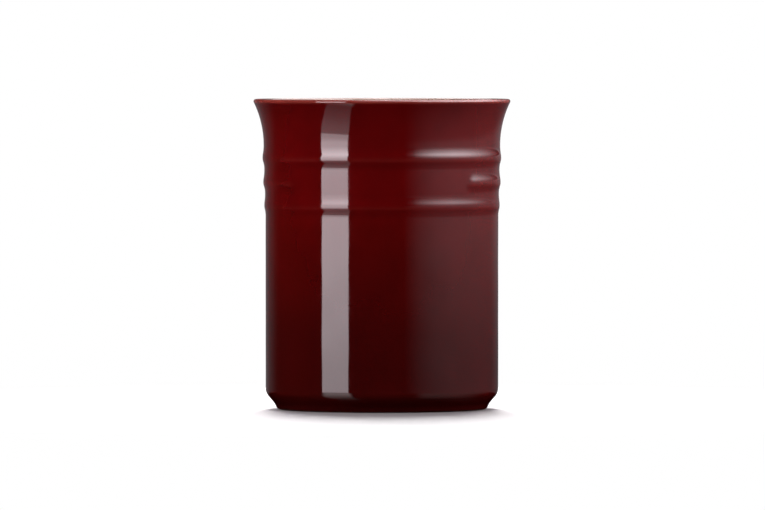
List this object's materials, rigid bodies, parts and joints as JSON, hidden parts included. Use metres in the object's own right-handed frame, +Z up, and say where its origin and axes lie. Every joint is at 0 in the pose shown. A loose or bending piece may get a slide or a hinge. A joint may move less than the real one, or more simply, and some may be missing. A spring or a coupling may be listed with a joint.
{
  "type": "utensil crock",
  "caption": "Straight-sided glazed stoneware utensil crock with a flared lip, low moulded rings and a coved foot, open at the top to hold kitchen tools.",
  "frame": {"origin": "on the crock's axis, in the plane that its foot ring stands on", "axes": "+Z up along the crock's axis; the plain front, where the middle ring is interrupted, faces -Y"},
  "size_m": [0.125, 0.125, 0.151],
  "materials": {
    "stoneware": "dry fired clay, ground smooth at the foot",
    "garnet_glaze": "glossy, thinner and lighter on edges",
    "cream_glaze": "glossy, faintly speckled"
  },
  "bodies": {
    "root": {"stoneware_body": "stoneware", "outer_glaze": "garnet_glaze", "inner_glaze": "cream_glaze", "base_glaze": "garnet_glaze"}
  },
  "joints": []
}
